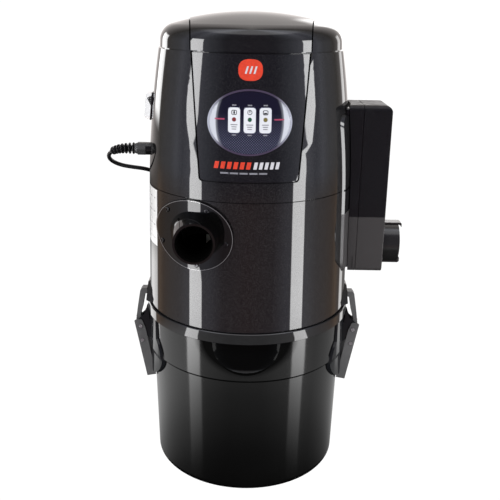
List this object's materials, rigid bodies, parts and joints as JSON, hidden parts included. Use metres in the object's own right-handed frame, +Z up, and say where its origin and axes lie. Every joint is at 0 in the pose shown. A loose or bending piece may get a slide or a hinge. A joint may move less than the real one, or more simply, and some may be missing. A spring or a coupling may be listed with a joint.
{
  "type": "canister vacuum cleaner",
  "caption": "Upright cylindrical wet and dry canister vacuum with a motor head latched on a dirt tank, side exhaust box, front hose inlet and a rear wall hanger.",
  "frame": {"origin": "on the floor plane at the axis of the dirt tank", "axes": "+Z up along the tank's axis, -Y towards the front panel, +X towards the side exhaust box"},
  "size_m": [0.4931, 0.4602, 0.753],
  "materials": {
    "tank_shell": "semi-gloss black polypropylene",
    "rim_gloss": "high-gloss black moulding",
    "housing_gloss": "high-gloss charcoal black with a fine metallic flake",
    "hood_gloss": "high-gloss black",
    "panel_gloss": "high-gloss black with printed colour marks",
    "badge_chrome": "bright chrome plating",
    "badge_navy": "glossy navy overlay with a fine dot grid",
    "window_white": "glossy white lozenges with a navy edge",
    "lamp_lens": "coloured lamp lenses: red, green and amber",
    "board": "green circuit board",
    "seal_rubber": "black sealing rubber",
    "inlet_gloss": "gloss black moulding",
    "screw_steel": "bright steel screw heads",
    "duct_plastic": "plain black moulding",
    "box_satin": "fine-textured satin black moulding",
    "port_satin": "satin black moulding",
    "muffler_foam": "open-cell grey foam",
    "switch_black": "gloss black",
    "boot_clear": "clear soft PVC cover",
    "gland_nylon": "dark grey nylon",
    "cord_rubber": "black flexible cord jacket",
    "tie_wrap": "black hook-and-loop strap",
    "plug_rubber": "black moulded plug",
    "plug_brass": "plain brass blades",
    "motor_steel": "laminated steel",
    "rotor_copper": "copper windings on a steel shaft",
    "fan_aluminium": "pressed aluminium",
    "shroud_steel": "pressed zinc-plated steel",
    "frame_plastic": "glass-filled black moulding",
    "bearing_steel": "ground bearing steel",
    "brush_brass": "brass holder with a carbon brush",
    "cage_plastic": "black moulding",
    "filter_paper": "pleated off-white filter paper",
    "retainer_plastic": "black moulding",
    "ball_plastic": "white hollow plastic ball",
    "latch_base_satin": "satin black moulding",
    "latch_satin": "satin black painted steel",
    "rivet_steel": "bright steel rivets",
    "bracket_steel": "black powder-coated steel",
    "cleat_plastic": "satin black moulding",
    "bumper_rubber": "soft black rubber"
  },
  "bodies": {
    "root": {"dirt_tank": "tank_shell", "tank_rim_ring": "rim_gloss", "tank_seal": "seal_rubber", "lower_housing": "housing_gloss", "upper_housing": "housing_gloss", "motor_deck": "duct_plastic", "hood_crown": "hood_gloss", "hood_shoulder_left": "hood_gloss", "hood_shoulder_right": "hood_gloss", "front_panel": "panel_gloss", "badge_bezel": "badge_chrome", "badge_face": "badge_navy", "indicator_windows": "window_white", "indicator_leds": "lamp_lens", "indicator_board": "board", "hose_inlet": "inlet_gloss", "inlet_gasket": "seal_rubber", "inlet_screws": "screw_steel", "inlet_elbow": "duct_plastic", "side_box_saddle": "box_satin", "side_box_base": "box_satin", "side_box_cover": "box_satin", "blower_port": "port_satin", "muffler_foam": "muffler_foam", "exhaust_duct": "duct_plastic", "switch_bezel": "switch_black", "switch_boot": "boot_clear", "gland_body": "gland_nylon", "gland_nut": "gland_nylon", "strain_relief": "cord_rubber", "power_cord": "cord_rubber", "cord_coil": "cord_rubber", "cord_tie": "tie_wrap", "plug_body": "plug_rubber", "plug_pins": "plug_brass", "fan_shroud": "shroud_steel", "motor_stator": "motor_steel", "motor_bearings": "bearing_steel", "motor_frame": "frame_plastic", "brush_holders": "brush_brass", "filter_cage": "cage_plastic", "filter_cartridge": "filter_paper", "filter_retainer": "retainer_plastic", "latch_base_left": "latch_base_satin", "latch_base_right": "latch_base_satin", "latch_keepers": "housing_gloss", "latch_pivot_pins": "rivet_steel", "wall_bracket": "bracket_steel", "hanger_cleat": "cleat_plastic", "rear_bumpers": "bumper_rubber"},
    "fan_rotor": {"armature": "rotor_copper", "fan_impeller": "fan_aluminium"},
    "float": {"float_ball": "ball_plastic"},
    "rocker": {"switch_rocker": "switch_black"},
    "lever_right": {"latch_lever_right": "latch_satin", "latch_link_pin_right": "rivet_steel"},
    "hook_right": {"latch_hook_right": "latch_satin"},
    "lever_left": {"latch_lever_left": "latch_satin", "latch_link_pin_left": "rivet_steel"},
    "hook_left": {"latch_hook_left": "latch_satin"}
  },
  "joints": [
    {"name": "fan_spin", "type": "hinge", "parent": "root", "child": "fan_rotor", "pos_m": [0, 0, 0.5], "axis": [0, 0, 1], "continuous": true},
    {"name": "float_rise", "type": "slide", "parent": "root", "child": "float", "axis": [0, 0, 1], "range_m": [0, 0.08]},
    {"name": "rocker_press", "type": "hinge", "parent": "root", "child": "rocker", "pos_m": [-0.15333, 0, 0.6068], "axis": [0, 1, 0], "range_deg": [0, 32]},
    {"name": "lever_right_swing", "type": "hinge", "parent": "root", "child": "lever_right", "pos_m": [0.1837, 0, 0.2305], "axis": [0, -1, 0], "range_deg": [0, 110]},
    {"name": "hook_right_swing", "type": "hinge", "parent": "lever_right", "child": "hook_right", "pos_m": [0.1816, 0, 0.2042], "axis": [0, -1, 0], "range_deg": [-110, 0]},
    {"name": "lever_left_swing", "type": "hinge", "parent": "root", "child": "lever_left", "pos_m": [-0.1837, 0, 0.2305], "axis": [0, 1, 0], "range_deg": [0, 110]},
    {"name": "hook_left_swing", "type": "hinge", "parent": "lever_left", "child": "hook_left", "pos_m": [-0.1816, 0, 0.2042], "axis": [0, 1, 0], "range_deg": [-110, 0]}
  ],
  "couplings": [
    {"joint": "hook_right_swing", "follows": "lever_right_swing", "ratio": -1},
    {"joint": "hook_left_swing", "follows": "lever_left_swing", "ratio": -1}
  ]
}
